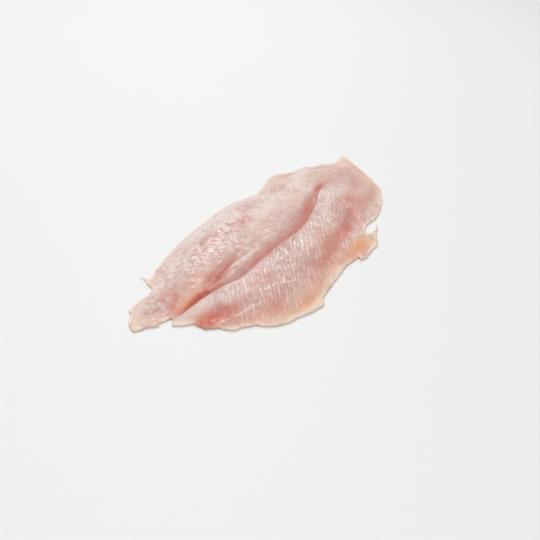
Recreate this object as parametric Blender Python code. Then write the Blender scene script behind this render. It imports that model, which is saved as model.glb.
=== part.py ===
"""Raw turkey escalope, one slice of breast meat lying flat, as a single closed solid.

The slice is a relief over its torn outline. A seam runs along most of it: the near flap ends
there in a raised, rounded lip, and the far lobe slopes down towards it. The top and the
underside are two sheets that share one ring of points low on the rim.
"""

import math

import bmesh
import bpy
import numpy as np
from mathutils import Vector, noise
from mathutils.geometry import delaunay_2d_cdt

NAME = "escalope"
COLLECTION = "raw_turkey_escalope"

# All lengths below are millimetres, and the mesh is made in metres
MM = 0.001

# The outline, anticlockwise from the tip of the cut end. Each stretch is one smooth
# curve, and two stretches meet in a corner.
OUTLINE = {
    "tip": ((132.6, 18.3), (125.8, 20.0), (116.6, 18.9)),
    "first far step": ((109.3, 22.9), (108.8, 26.2), (104.4, 28.6)),
    "second far step": ((99.8, 30.2), (98.6, 34.0)),
    "third far step": ((96.4, 37.0), (88.8, 38.1)),
    "far lobe": (
        (82.0, 40.2), (77.4, 43.8), (72.6, 48.2), (66.0, 49.6), (52.0, 47.4), (37.2, 45.1), (26.8, 48.4),
        (13.8, 52.5), (-6.3, 54.0), (-32.4, 53.5), (-56.5, 51.8), (-74.5, 47.8), (-84.0, 45.6),
    ),
    "thread": ((-88.6, 43.6), (-88.6, 46.4)),
    "thread tip": ((-88.9, 50.3), (-89.9, 47.6)),
    "fold": ((-91.0, 45.2), (-93.4, 42.6), (-94.6, 39.4)),
    "tail far side": ((-96.4, 36.7), (-103.4, 35.8), (-111.4, 36.4), (-118.4, 36.0)),
    "tail step": ((-120.8, 33.0), (-124.1, 31.9), (-127.1, 30.2)),
    "tail end": ((-129.6, 27.4), (-131.5, 24.2), (-131.3, 22.4), (-128.2, 20.6)),
    "tail near side": ((-126.0, 19.4), (-125.3, 17.7)),
    "tail tooth": ((-124.0, 17.4), (-123.3, 15.9)),
    "tag": ((-122.1, 16.0), (-121.6, 14.1)),
    "notch": ((-120.3, 15.8), (-116.8, 14.6)),
    "seam mouth": ((-113.2, 13.0), (-115.7, 11.3)),
    "flap corner": ((-118.4, 9.3), (-116.0, 5.0), (-112.2, 0.8)),
    "flap end": ((-112.8, -7.0), (-109.6, -10.6), (-108.0, -15.2)),
    "near shoulder": (
        (-107.4, -19.1), (-102.1, -22.8), (-97.3, -27.4), (-95.2, -33.2), (-88.3, -40.1),
        (-78.2, -44.7),
    ),
    "near edge": (
        (-71.8, -48.2), (-63.6, -50.3), (-55.0, -47.1), (-37.1, -46.5), (-21.2, -45.7),
        (-14.3, -46.8),
    ),
    "barb notch": ((-7.5, -48.4), (-9.3, -49.5)),
    "barb": ((-11.9, -50.4), (-4.3, -52.5), (6.7, -52.7)),
    "near lobe": ((11.6, -53.8), (16.5, -51.8), (23.5, -48.5), (32.1, -46.0)),
    "hook": (
        (36.6, -43.5), (30.4, -44.4), (24.4, -44.0), (21.6, -42.8), (24.4, -41.2), (28.0, -39.2),
        (33.0, -38.3), (38.4, -38.8),
    ),
    "near end": (
        (44.0, -40.2), (53.2, -39.3), (66.0, -36.8), (79.0, -32.6), (90.0, -26.8), (98.1, -19.8),
    ),
    "cut end": ((105.2, -12.9), (120.4, 3.8)),
}

# Rim: the ring stands at RING_HEIGHT, and quarter ellipses round the top and the underside
RING_HEIGHT = 0.8
RIM_TOP = 2.4
ROUND_TOP = 2.6
ROUND_BELOW = 0.9

# Thickness of the meat: it grows from the rim's to the body's over BODY_REACH, and the
# relief on it grows to its full height over RELIEF_REACH
BODY_TOP = 8.3
BODY_REACH = 22.0
RELIEF_REACH = 9.0

# Swells of the top: centre, half length, half width, turn from +X in degrees, height
SWELLS = {
    "far lobe": ((-28.0, 34.0), 58.0, 17.0, 0.0, 1.9),
    "far bulge": ((62.0, 40.0), 19.0, 11.0, 5.0, 1.4),
    "flap belly": ((-42.0, -22.0), 48.0, 17.0, 6.0, 1.6),
    "flap front": ((35.0, -16.0), 42.0, 13.0, 18.0, 1.0),
    "near lobe": ((4.0, -46.0), 19.0, 6.5, 0.0, 1.2),
    "tail": ((-113.0, 26.0), 13.0, 7.5, 20.0, 0.9),
    "cut end": ((104.0, 6.0), 30.0, 22.0, 35.0, -2.2),
    "tail tip": ((-128.0, 24.0), 14.0, 14.0, 0.0, -1.4),
}

# The seam, from its mouth at the flap corner to where it fades out
SEAM = (
    (-118.0, 12.8), (-110.0, 9.0), (-101.0, 6.4), (-91.0, 2.0), (-82.0, -0.8), (-73.0, -3.9),
    (-62.0, -4.5), (-46.0, -5.0), (-32.0, -5.7), (-18.0, -7.7), (-4.0, -8.4), (8.0, -6.6),
    (22.0, -3.5), (34.0, -0.5), (45.0, 3.6), (56.0, 5.2), (66.0, 6.2), (76.0, 6.8),
)

# Its depth at the mouth and further in
SEAM_DEPTH = (1.4, 4.4)

# The share of the seam's length from which it fades
SEAM_FADE = 0.74

# Width of the far lobe's slope at the mouth, further in and where the seam ends. It grows
# up to the first share of the seam's length and narrows from the second.
SEAM_FAR_SLOPE = (1.2, 13.0, 5.0)
SEAM_SLOPE_SHARES = (0.50, 0.72)

# How much of the slope's fall lies next to the seam: 1 is an even fall
SEAM_HOLLOW = 1.4

# The near flap's lip: its steep wall, its rise above the flap and how far that reaches
LIP_WALL = 1.8
LIP_RISE = 1.1
LIP_WIDTH = 11.0

# Shallow creases: route, depth, half width. Each fades over this share at either end.
CREASE_FADE = 0.2
CREASES = {
    "far crease": (
        ((-94.0, 8.4), (-86.0, 8.0), (-76.0, 8.6), (-66.0, 9.6), (-54.0, 9.8), (-40.0, 8.6)),
        1.0, 2.4,
    ),
    "flap crease": (
        ((-28.0, -36.4), (-14.0, -33.8), (-3.0, -31.4), (9.0, -31.8), (21.0, -30.4),
         (33.0, -25.2), (51.0, -19.6), (72.0, -12.6)),
        1.5, 4.6,
    ),
    "lobe hollow": (((2.0, 27.0), (16.0, 25.0), (32.0, 27.0), (42.0, 34.0)), 0.9, 6.0),
    "flap valley": (((-114.0, -1.0), (-106.0, -6.5), (-95.0, -12.5)), 1.2, 5.0),
}

# Unevenness of the top: length of a wave and its height
WAVES = ((34.0, 0.55), (13.0, 0.28))
WAVE_SEED = Vector((3.7, 11.3, 0.0))

# Steps along lines: the outline's, the seam's rows' and those of the relief's routes
RING_STEP = 2.7
SEAM_STEP = 3.4
ROUTE_STEP = 2.0

# Mesh points inside: the grids of the top and the underside, the rows along the rim, and
# the rows along the seam, as distances to its far side
GRID_STEP = 3.9
BELOW_STEP = 13.0
RIM_ROWS_TOP = (0.5, 1.5, 3.0)
RIM_ROWS_BELOW = (0.5, 1.5)
SEAM_ROWS = (0.0, -1.9, -0.9, -4.2, 2.4)

# A point is left out within CLEAR of its row's spacing, or within RIM_CLEAR of the rim
CLEAR = 0.62
RIM_CLEAR = 0.4
RIM_SPACING = 1.0
SEAM_SPACING = 1.2

# An inset point nearer to the ring than this share of its distance is a fold, and left out
TRUE_INSET = 0.93
SAME_PLACE = 1e-5

# Finish of the meat, linear colour as Blender takes it
MEAT_COLOUR = (0.708, 0.440, 0.384, 1.0)
MEAT_ROUGHNESS = 0.32


def clear_scene():
    """Removes every object of the scene that the file opened with."""
    for obj in list(bpy.data.objects):
        bpy.data.objects.remove(obj, do_unlink=True)


def smooth_curve(points, step):
    """Points about a step apart on the Catmull-Rom curve through these points."""
    knots = np.array(points, float)
    knots = np.vstack([2 * knots[0] - knots[1], knots, 2 * knots[-1] - knots[-2]])
    curve = []
    for before, start, end, after in zip(knots, knots[1:], knots[2:], knots[3:]):
        count = max(1, round(np.linalg.norm(end - start) / step))
        for t in np.arange(count) / count:
            bend = 2 * before - 5 * start + 4 * end - after
            twist = 3 * start - before - 3 * end + after
            curve.append(start + 0.5 * t * (end - before + t * (bend + t * twist)))
    curve.append(knots[-2])
    return np.array(curve)


def outline_ring(step):
    """The closed outline as points about a step apart, without repeating the first."""
    stretches = list(OUTLINE.values())
    ring = []
    for stretch, following in zip(stretches, stretches[1:] + stretches[:1]):
        ring.extend(smooth_curve(stretch + following[:1], step)[:-1])
    return np.array(ring)


def ease(t):
    """A smooth step from 0 to 1."""
    t = np.clip(t, 0.0, 1.0)
    return t * t * (3 - 2 * t)


def quarter_round(t):
    """A quarter ellipse that rises steeply from 0 and levels out at 1."""
    return np.sqrt(1 - (1 - np.clip(t, 0.0, 1.0)) ** 2)


def nearest_on_line(points, line, closed=False):
    """Distance to a polyline, the share of its length there, and the side: +1 is its left."""
    starts = line if closed else line[:-1]
    runs = (np.roll(line, -1, axis=0) if closed else line[1:]) - starts
    lengths = np.linalg.norm(runs, axis=1)
    offsets = points[:, None, :] - starts[None, :, :]
    along = np.clip((offsets * runs).sum(axis=2) / lengths**2, 0.0, 1.0)
    gaps = np.linalg.norm(offsets - along[..., None] * runs, axis=2)
    rows, nearest = np.arange(len(points)), gaps.argmin(axis=1)
    travelled = np.cumsum(lengths)[nearest] - (1 - along[rows, nearest]) * lengths[nearest]
    run, offset = runs[nearest], offsets[rows, nearest]
    side = np.sign(run[:, 0] * offset[:, 1] - run[:, 1] * offset[:, 0])
    return gaps[rows, nearest], travelled / lengths.sum(), side


def swell(points, centre, half_length, half_width, turn, height):
    """A smooth oval mound."""
    cos, sin = math.cos(math.radians(turn)), math.sin(math.radians(turn))
    x, y = (points - centre).T
    u, v = (x * cos + y * sin) / half_length, (y * cos - x * sin) / half_width
    return height * np.exp(-(u**2 + v**2))


def crease(points, route, depth, half_width):
    """A shallow trough that fades out at both ends."""
    gap, share, _ = nearest_on_line(points, smooth_curve(route, ROUTE_STEP))
    fade = ease(share / CREASE_FADE) * ease((1 - share) / CREASE_FADE)
    return -depth * fade * np.exp(-((gap / half_width) ** 2))


def seam(points):
    """The seam's trough, with a long slope on its far side and the flap's lip on its near side."""
    gap, share, side = nearest_on_line(points, smooth_curve(SEAM, ROUTE_STEP))
    fade = ease((1 - share) / (1 - SEAM_FADE))
    at_mouth, inside_slope, at_end = SEAM_FAR_SLOPE
    growth = ease(share / SEAM_SLOPE_SHARES[0])
    depth = SEAM_DEPTH[0] + growth * (SEAM_DEPTH[1] - SEAM_DEPTH[0])
    shrinkage = ease((share - SEAM_SLOPE_SHARES[1]) / (1 - SEAM_SLOPE_SHARES[1]))
    reach = at_mouth + growth * (inside_slope - at_mouth) + shrinkage * (at_end - inside_slope)
    far = -depth * (1 - ease(gap / reach)) ** SEAM_HOLLOW
    near = -depth * (1 - quarter_round(gap / LIP_WALL))
    lip = LIP_RISE * ease(gap / LIP_WALL) * (1 - ease((gap - LIP_WALL) / LIP_WIDTH))
    return fade * np.where(side > 0, far, near + lip)


def waves(points):
    """Low, broad unevenness."""
    total = np.zeros(len(points))
    for length, height in WAVES:
        places = [Vector((x, y, 0.0)) / length + WAVE_SEED for x, y in points]
        total += height * np.array([noise.noise(place) for place in places])
    return total


def top_height(points, ring):
    """Height of the top over each point inside the outline."""
    rim_gap = nearest_on_line(points, ring, closed=True)[0]
    depth = ease(rim_gap / BODY_REACH)
    relief = sum(swell(points, *values) for values in SWELLS.values())
    relief = relief + sum(crease(points, *values) for values in CREASES.values())
    relief = relief + seam(points) + waves(points)
    body = RIM_TOP + depth * (BODY_TOP - RIM_TOP) + ease(rim_gap / RELIEF_REACH) * relief
    return RING_HEIGHT + (body - RING_HEIGHT) * quarter_round(rim_gap / ROUND_TOP)


def underside_height(points, ring):
    """Height of the underside, flat but for its rounded rim."""
    rim_gap = nearest_on_line(points, ring, closed=True)[0]
    return RING_HEIGHT * (1 - quarter_round(rim_gap / ROUND_BELOW))


def inset_row(ring, distance):
    """The ring moved inwards, without the points that land nearer to another part of it."""
    tangent = np.roll(ring, -1, axis=0) - np.roll(ring, 1, axis=0)
    inward = np.column_stack([-tangent[:, 1], tangent[:, 0]])
    inward /= np.linalg.norm(inward, axis=1)[:, None]
    row = ring + distance * inward
    return row[nearest_on_line(row, ring, closed=True)[0] > TRUE_INSET * distance]


def hexagonal_grid(ring, step):
    """A triangular grid of points over the box of the ring."""
    low, high = ring.min(axis=0), ring.max(axis=0)
    rows = np.arange(low[1], high[1], step * math.sqrt(0.75))
    columns = np.arange(low[0], high[0], step)
    return np.array([(x + step * (i % 2) / 2, y) for i, y in enumerate(rows) for x in columns])


def inside(points, ring):
    """Whether each point lies inside the ring."""
    ends = np.roll(ring, -1, axis=0)
    x, y = points[:, :1], points[:, 1:]
    spans = (ring[:, 1] > y) != (ends[:, 1] > y)
    rise = np.where(ends[:, 1] == ring[:, 1], 1.0, ends[:, 1] - ring[:, 1])
    crossing = ring[:, 0] + (y - ring[:, 1]) / rise * (ends[:, 0] - ring[:, 0])
    return (spans & (x < crossing)).sum(axis=1) % 2 == 1


def spread(rows, ring):
    """The rows in order, each point kept only if it is clear of the rim and of those before it."""
    kept = np.empty((0, 2))
    for row, spacing in rows:
        row = row[inside(row, ring)]
        row = row[nearest_on_line(row, ring, closed=True)[0] > RIM_CLEAR]
        for point in row:
            if len(kept) == 0 or np.linalg.norm(kept - point, axis=1).min() > CLEAR * spacing:
                kept = np.vstack([kept, point])
    return kept


def seam_points():
    """Points on and beside the seam, so that the lip stays crisp."""
    line = smooth_curve(SEAM, SEAM_STEP)
    tangent = np.gradient(line, axis=0)
    left = np.column_stack([-tangent[:, 1], tangent[:, 0]])
    left /= np.linalg.norm(left, axis=1)[:, None]
    return np.vstack([line + offset * left for offset in SEAM_ROWS])


def flat_sheet(ring, inner):
    """Triangles inside the ring through the inner points, as places and faces.

    An edge that joins two points of the ring across the meat is split, so that the top and
    the underside share nothing but the ring.
    """
    corners = [Vector(point) for point in np.vstack([ring, inner])]
    border = [(i, (i + 1) % len(ring)) for i in range(len(ring))]
    places, _, faces = delaunay_2d_cdt(corners, border, [], 1, SAME_PLACE)[:3]
    sheet = bmesh.new()
    verts = [sheet.verts.new((place.x, place.y, 0.0)) for place in places]
    for face in faces:
        sheet.faces.new([verts[i] for i in face])
    sheet.verts.index_update()
    count = len(ring)
    chords = [
        edge for edge in sheet.edges
        if len(edge.link_faces) == 2 and all(vert.index < count for vert in edge.verts)
    ]
    bmesh.ops.subdivide_edges(sheet, edges=chords, cuts=1)
    bmesh.ops.triangulate(sheet, faces=sheet.faces[:])
    sheet.verts.index_update()
    places = np.array([vert.co.xy for vert in sheet.verts])
    faces = [[vert.index for vert in face.verts] for face in sheet.faces]
    sheet.free()
    return places, faces


def meat_mesh():
    """The closed mesh of the slice, in metres."""
    ring = outline_ring(RING_STEP)
    rows = [(inset_row(ring, RIM_ROWS_TOP[0]), RIM_SPACING), (seam_points(), SEAM_SPACING)]
    rows += [(inset_row(ring, distance), distance) for distance in RIM_ROWS_TOP[1:]]
    rows += [(hexagonal_grid(ring, GRID_STEP), GRID_STEP)]
    top, top_faces = flat_sheet(ring, spread(rows, ring))
    rows = [(inset_row(ring, distance), RIM_SPACING) for distance in RIM_ROWS_BELOW]
    rows += [(hexagonal_grid(ring, BELOW_STEP), BELOW_STEP)]
    below, below_faces = flat_sheet(ring, spread(rows, ring))
    count = len(ring)
    top_z, below_z = top_height(top, ring), underside_height(below, ring)
    top_z[:count] = RING_HEIGHT
    places = np.vstack([
        np.column_stack([top, top_z]),
        np.column_stack([below[count:], below_z[count:]]),
    ])
    shift = len(top) - count
    underside = [[i if i < count else i + shift for i in reversed(face)] for face in below_faces]
    mesh = bpy.data.meshes.new(NAME)
    mesh.from_pydata((places * MM).tolist(), [], top_faces + underside)
    mesh.validate()
    return mesh


def centre_on_base(mesh):
    """Moves the mesh so that the origin is the middle of its box, at the bottom."""
    places = np.array([vert.co for vert in mesh.vertices])
    low, high = places.min(axis=0), places.max(axis=0)
    for vert in mesh.vertices:
        vert.co -= Vector(((low[0] + high[0]) / 2, (low[1] + high[1]) / 2, low[2]))


def raw_meat():
    """The pale pink, wet finish."""
    material = bpy.data.materials.new("raw_meat")
    material.use_nodes = True
    shader = material.node_tree.nodes["Principled BSDF"]
    shader.inputs["Base Color"].default_value = MEAT_COLOUR
    shader.inputs["Roughness"].default_value = MEAT_ROUGHNESS
    shader.inputs["Metallic"].default_value = 0.0
    material.diffuse_color = MEAT_COLOUR
    return material


def main():
    """Builds the slice in a collection of its own."""
    clear_scene()
    collection = bpy.data.collections.new(COLLECTION)
    bpy.context.scene.collection.children.link(collection)
    mesh = meat_mesh()
    centre_on_base(mesh)
    mesh.shade_smooth()
    mesh.materials.append(raw_meat())
    collection.objects.link(bpy.data.objects.new(NAME, mesh))


main()
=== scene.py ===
"""Dresses a raw turkey escalope: one wet slice of breast meat lying on a pale floor.

The slice repeats the named sizes of the solid that it replaces, and adds what is too fine for
it: the fibres of the muscle, the pebbled part of the far lobe, strands of membrane and a ragged
rim. Lengths are millimetres unless a name says otherwise, in the frame of the outline's points.
"""

import logging
import math
from collections.abc import Iterable, Mapping, Sequence
from dataclasses import dataclass, fields
from enum import Enum

import bmesh
import bpy
import numpy as np
from mathutils import Matrix, Vector, noise
from mathutils.geometry import delaunay_2d_cdt

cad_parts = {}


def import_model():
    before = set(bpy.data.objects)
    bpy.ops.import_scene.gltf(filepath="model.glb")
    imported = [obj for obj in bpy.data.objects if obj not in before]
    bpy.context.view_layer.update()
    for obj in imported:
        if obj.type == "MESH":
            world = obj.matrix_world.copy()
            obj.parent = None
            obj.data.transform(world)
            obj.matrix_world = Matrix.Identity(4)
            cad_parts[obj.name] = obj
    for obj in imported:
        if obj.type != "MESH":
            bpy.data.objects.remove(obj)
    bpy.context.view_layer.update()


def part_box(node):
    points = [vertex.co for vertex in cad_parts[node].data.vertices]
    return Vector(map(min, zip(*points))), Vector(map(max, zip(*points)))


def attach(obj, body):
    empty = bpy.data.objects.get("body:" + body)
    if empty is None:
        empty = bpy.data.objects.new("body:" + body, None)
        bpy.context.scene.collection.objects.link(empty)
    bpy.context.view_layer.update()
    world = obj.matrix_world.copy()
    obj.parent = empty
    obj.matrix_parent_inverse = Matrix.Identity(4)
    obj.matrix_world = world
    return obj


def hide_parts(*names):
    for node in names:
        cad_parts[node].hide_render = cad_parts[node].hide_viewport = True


MM = 0.001
SOLID = "escalope"
BODY = "root"

Array = np.ndarray
Point = tuple[float, float]
Span = tuple[float, float]
Route = tuple[Point, ...]
Colour = tuple[float, ...]

log = logging.getLogger("escalope")


def ease(t: Array) -> Array:
    """A smooth step from 0 to 1."""
    t = np.clip(t, 0.0, 1.0)
    return t * t * (3 - 2 * t)


def rise(values: Array, span: Span) -> Array:
    """A smooth step from 0 at the span's first value to 1 at its second."""
    start, end = span
    return ease((values - start) / (end - start))


def quarter_round(t: Array) -> Array:
    """A quarter ellipse that rises steeply from 0 and levels out at 1."""
    return np.sqrt(1 - (1 - np.clip(t, 0.0, 1.0)) ** 2)


def smooth_curve(points: Sequence[Point], step: float) -> Array:
    """Points about a step apart on the Catmull-Rom curve through some points.

    Args:
        points: The points that the curve passes through, in order.
        step: The distance wanted between two points of the result.

    Returns:
        The curve's points, one row each.
    """
    knots = np.array(points, float)
    knots = np.vstack([2 * knots[0] - knots[1], knots, 2 * knots[-1] - knots[-2]])
    curve = []
    for before, start, end, after in zip(knots, knots[1:], knots[2:], knots[3:]):
        count = max(1, round(np.linalg.norm(end - start) / step))
        for t in np.arange(count) / count:
            bend = 2 * before - 5 * start + 4 * end - after
            twist = 3 * start - before - 3 * end + after
            curve.append(start + 0.5 * t * (end - before + t * (bend + t * twist)))
    curve.append(knots[-2])
    return np.array(curve)


def nearest_on_line(
    points: Array, line: Array, closed: bool = False
) -> tuple[Array, Array, Array]:
    """Where points lie beside a polyline.

    Args:
        points: The points, one row each.
        line: The polyline's points.
        closed: Whether the polyline's last point joins its first.

    Returns:
        The distance to the line, the share of the line's length there, and the side, which is
        +1 on its left.
    """
    batch = 4000
    starts = line if closed else line[:-1]
    runs = (np.roll(line, -1, axis=0) if closed else line[1:]) - starts
    lengths = np.linalg.norm(runs, axis=1)
    ends = np.cumsum(lengths)
    found = []
    for first in range(0, len(points), batch):
        some = points[first:first + batch]
        offsets = some[:, None, :] - starts[None, :, :]
        along = np.clip((offsets * runs).sum(axis=2) / lengths**2, 0.0, 1.0)
        gaps = np.linalg.norm(offsets - along[..., None] * runs, axis=2)
        rows, near = np.arange(len(some)), gaps.argmin(axis=1)
        travelled = ends[near] - (1 - along[rows, near]) * lengths[near]
        run, offset = runs[near], offsets[rows, near]
        side = np.sign(run[:, 0] * offset[:, 1] - run[:, 1] * offset[:, 0])
        found.append((gaps[rows, near], travelled / ends[-1], side))
    gap, share, side = (np.concatenate(column) for column in zip(*found))
    return gap, share, side


def inside(points: Array, ring: Array) -> Array:
    """Whether each point lies inside the ring."""
    count = np.zeros(len(points), int)
    x, y = points.T
    for start, end in zip(ring, np.roll(ring, -1, axis=0)):
        spans = (start[1] > y) != (end[1] > y)
        rise = (end[1] - start[1]) or 1.0
        count += spans & (x < start[0] + (y - start[1]) / rise * (end[0] - start[0]))
    return count % 2 == 1


def smooth_noise(points: Array, cell: Sequence[float], seed: float) -> Array:
    """Smooth noise, about -1 to 1, whose blobs have the size of the cell along each axis."""
    scaled = points / np.array(cell)
    return np.array([noise.noise(Vector((x, y, seed))) for x, y in scaled.tolist()])


@dataclass(frozen=True)
class Oval:
    """A soft oval place: it counts most in the middle and fades outwards.

    The strength is a height in millimetres where the oval is a swell.
    """

    centre: Point
    half_length: float
    half_width: float
    turn: float = 0.0
    strength: float = 1.0

    def at(self, points: Array) -> Array:
        """How much the oval counts at each point."""
        cos, sin = math.cos(math.radians(self.turn)), math.sin(math.radians(self.turn))
        x, y = (points - self.centre).T
        u, v = (x * cos + y * sin) / self.half_length, (y * cos - x * sin) / self.half_width
        return self.strength * np.exp(-(u**2 + v**2))


@dataclass(frozen=True)
class Band:
    """A soft band along a route, which fades across and at both ends.

    The strength is a height in millimetres where the band is a crease or a strand.
    """

    route: Route
    half_width: float
    strength: float = 1.0
    fade: float = 0.2
    step: float = 2.0

    def at(self, points: Array) -> Array:
        """How much the band counts at each point."""
        gap, share, _ = nearest_on_line(points, smooth_curve(self.route, self.step))
        fade = ease(share / self.fade) * ease((1 - share) / self.fade)
        return self.strength * fade * np.exp(-((gap / self.half_width) ** 2))


def ovals(*rows: tuple[float, ...]) -> tuple[Oval, ...]:
    """Ovals, one for each row of x, y, half length, half width, turn and strength."""
    return tuple(Oval((x, y), *sizes) for x, y, *sizes in rows)


def total(places: Iterable[Oval | Band], points: Array) -> Array:
    """The sum of what the places count at each point."""
    return sum((place.at(points) for place in places), np.zeros(len(points)))


@dataclass(frozen=True)
class Outline:
    """The torn outline, anticlockwise from the tip of the cut end.

    Each field is one smooth stretch, and two stretches meet in a corner.
    """

    tip: Route = ((132.6, 18.3), (125.8, 20), (116.6, 18.9))
    first_far_step: Route = ((109.3, 22.9), (108.8, 26.2), (104.4, 28.6))
    second_far_step: Route = ((99.8, 30.2), (98.6, 34))
    third_far_step: Route = ((96.4, 37), (88.8, 38.1))
    far_lobe: Route = (
        (82, 40.2), (77.4, 43.8), (72.6, 48.2), (66, 49.6), (52, 47.4), (37.2, 45.1),
        (26.8, 48.4), (13.8, 52.5), (-6.3, 54), (-32.4, 53.5), (-56.5, 51.8), (-74.5, 47.8),
        (-84, 45.6),
    )
    thread: Route = ((-88.6, 43.6), (-88.6, 46.4))
    thread_tip: Route = ((-88.9, 50.3), (-89.9, 47.6))
    fold: Route = ((-91, 45.2), (-93.4, 42.6), (-94.6, 39.4))
    tail_far_side: Route = ((-96.4, 36.7), (-103.4, 35.8), (-111.4, 36.4), (-118.4, 36))
    tail_step: Route = ((-120.8, 33), (-124.1, 31.9), (-127.1, 30.2))
    tail_end: Route = ((-129.6, 27.4), (-131.5, 24.2), (-131.3, 22.4), (-128.2, 20.6))
    tail_near_side: Route = ((-126, 19.4), (-125.3, 17.7))
    tail_tooth: Route = ((-124, 17.4), (-123.3, 15.9))
    tag: Route = ((-122.1, 16), (-121.6, 14.1))
    notch: Route = ((-120.3, 15.8), (-116.8, 14.6))
    seam_mouth: Route = ((-113.2, 13), (-115.7, 11.3))
    flap_corner: Route = ((-118.4, 9.3), (-116, 5), (-112.2, 0.8))
    flap_end: Route = ((-112.8, -7), (-109.6, -10.6), (-108, -15.2))
    near_shoulder: Route = (
        (-107.4, -19.1), (-102.1, -22.8), (-97.3, -27.4), (-95.2, -33.2), (-88.3, -40.1),
        (-78.2, -44.7),
    )
    near_edge: Route = (
        (-71.8, -48.2), (-63.6, -50.3), (-55, -47.1), (-37.1, -46.5), (-21.2, -45.7),
        (-14.3, -46.8),
    )
    barb_notch: Route = ((-7.5, -48.4), (-9.3, -49.5))
    barb: Route = ((-11.9, -50.4), (-4.3, -52.5), (6.7, -52.7))
    near_lobe: Route = ((11.6, -53.8), (16.5, -51.8), (23.5, -48.5), (32.1, -46))
    hook: Route = (
        (36.6, -43.5), (30.4, -44.4), (24.4, -44), (21.6, -42.8), (24.4, -41.2), (28, -39.2),
        (33, -38.3), (38.4, -38.8),
    )
    near_end: Route = (
        (44, -40.2), (53.2, -39.3), (66, -36.8), (79, -32.6), (90, -26.8), (98.1, -19.8),
    )
    cut_end: Route = ((105.2, -12.9), (120.4, 3.8))

    def ring(self, step: float) -> Array:
        """The closed outline as points about a step apart, without repeating the first."""
        stretches = [getattr(self, stretch.name) for stretch in fields(self)]
        points: list[Array] = []
        for stretch, following in zip(stretches, stretches[1:] + stretches[:1]):
            points.extend(smooth_curve(stretch + following[:1], step)[:-1])
        return np.array(points)


@dataclass(frozen=True)
class Seam:
    """The seam between the far lobe and the near flap, from its mouth to where it fades out.

    The far side slopes down to it, and the flap ends at it in a steep wall with a raised lip.
    """

    route: Route = (
        (-118, 12.8), (-110, 9), (-101, 6.4), (-91, 2), (-82, -0.8), (-73, -3.9),
        (-62, -4.5), (-46, -5), (-32, -5.7), (-18, -7.7), (-4, -8.4), (8, -6.6),
        (22, -3.5), (34, -0.5), (45, 3.6), (56, 5.2), (66, 6.2), (76, 6.8),
    )
    depth_at_mouth: float = 1.4
    depth_inside: float = 4.4
    fades_from: float = 0.74
    hollow: float = 1.4
    slope_at_mouth: float = 1.2
    slope_inside: float = 13.0
    slope_at_end: float = 5.0
    slope_grows_to: float = 0.50
    slope_narrows_from: float = 0.72
    wall: float = 1.8
    lip_rise: float = 1.1
    lip_width: float = 11.0
    row_offsets: tuple[float, ...] = (-2.1, -1.8, -1.5, -1.2, -0.9, -0.6, -0.3, 0.0, 0.3, 0.7)

    def beside(self, points: Array) -> tuple[Array, Array, Array]:
        """Distance to the seam, the share of its length there, and the side, +1 for the far one."""
        return nearest_on_line(points, smooth_curve(self.route, 2.0))

    def reach(self, share: Array) -> Array:
        """Width of the far slope at this share of the seam."""
        growth = ease(share / self.slope_grows_to)
        shrinkage = ease((share - self.slope_narrows_from) / (1 - self.slope_narrows_from))
        width = self.slope_at_mouth + growth * (self.slope_inside - self.slope_at_mouth)
        return width + shrinkage * (self.slope_at_end - self.slope_inside)

    def relief(self, points: Array) -> Array:
        """What the trough takes from the top's height, and what the lip adds to it."""
        gap, share, side = self.beside(points)
        fade = ease((1 - share) / (1 - self.fades_from))
        growth = ease(share / self.slope_grows_to)
        depth = self.depth_at_mouth + growth * (self.depth_inside - self.depth_at_mouth)
        far = -depth * (1 - ease(gap / self.reach(share))) ** self.hollow
        near = -depth * (1 - quarter_round(gap / self.wall))
        lip = self.lip_rise * ease(gap / self.wall) * (1 - ease((gap - self.wall) / self.lip_width))
        return fade * np.where(side > 0, far, near + lip)

    def rows(self, step: float) -> Array:
        """Mesh points in rows along the wall, so that the lip is crisp."""
        line = smooth_curve(self.route, step)
        tangent = np.gradient(line, axis=0)
        left = np.column_stack([-tangent[:, 1], tangent[:, 0]])
        left /= np.linalg.norm(left, axis=1)[:, None]
        return np.vstack([line + offset * left for offset in self.row_offsets])

    def beyond_rows(self, points: Array, clear: float) -> Array:
        """Whether each point is clear of the rows along the wall."""
        gap, share, side = self.beside(points)
        offset = gap * side
        between = (offset > self.row_offsets[0] - clear) & (offset < self.row_offsets[-1] + clear)
        return ~(between & (share > 0.0) & (share < 1.0))


@dataclass(frozen=True)
class Fibres:
    """Bundles of muscle fibre that run side by side on one part of the top.

    They follow curves whose slope changes evenly with x. The bundles are about a spacing apart,
    break off and start again after about a length, and stand up by the height. The sway, the
    wobble and the breaks are each a strength, then the size of their blobs in lengths and spacings.
    """

    slope: float
    slope_change: float
    spacing: float
    length: float
    height: float
    # tint: how much paler the crests are painted, partly paler tissue and partly painted highlight
    tint: float
    seed: float
    sway: tuple[float, float, float] = (0.55, 1.6, 3.0)
    wobble: tuple[float, float, float] = (0.25, 0.5, 1.2)
    breaks: tuple[float, float, float] = (1.2, 0.9, 1.1)
    sharpness: float = 1.6

    def along(self, points: Array) -> Array:
        """Places along and across the fibres."""
        x, y = points.T
        across = y - self.slope * x - self.slope_change * x**2 / 2
        stretch = math.sqrt(1 + self.slope**2)
        return np.column_stack([x * stretch, across / stretch])

    def bundles(self, points: Array) -> Array:
        """From about -0.5 between the bundles to 1.5 on the crests of the boldest."""
        places = self.along(points)
        sway, wobble, broken = (
            strength * smooth_noise(
                places, (lengths * self.length, spacings * self.spacing), self.seed + 3 * turn)
            for turn, (strength, lengths, spacings) in enumerate(
                (self.sway, self.wobble, self.breaks))
        )
        phase = places[:, 1] / self.spacing + sway + wobble
        crest = (0.5 + 0.5 * np.cos(2 * math.pi * phase)) ** self.sharpness
        return 2.0 * crest * ease(0.5 + broken) - 0.5


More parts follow.
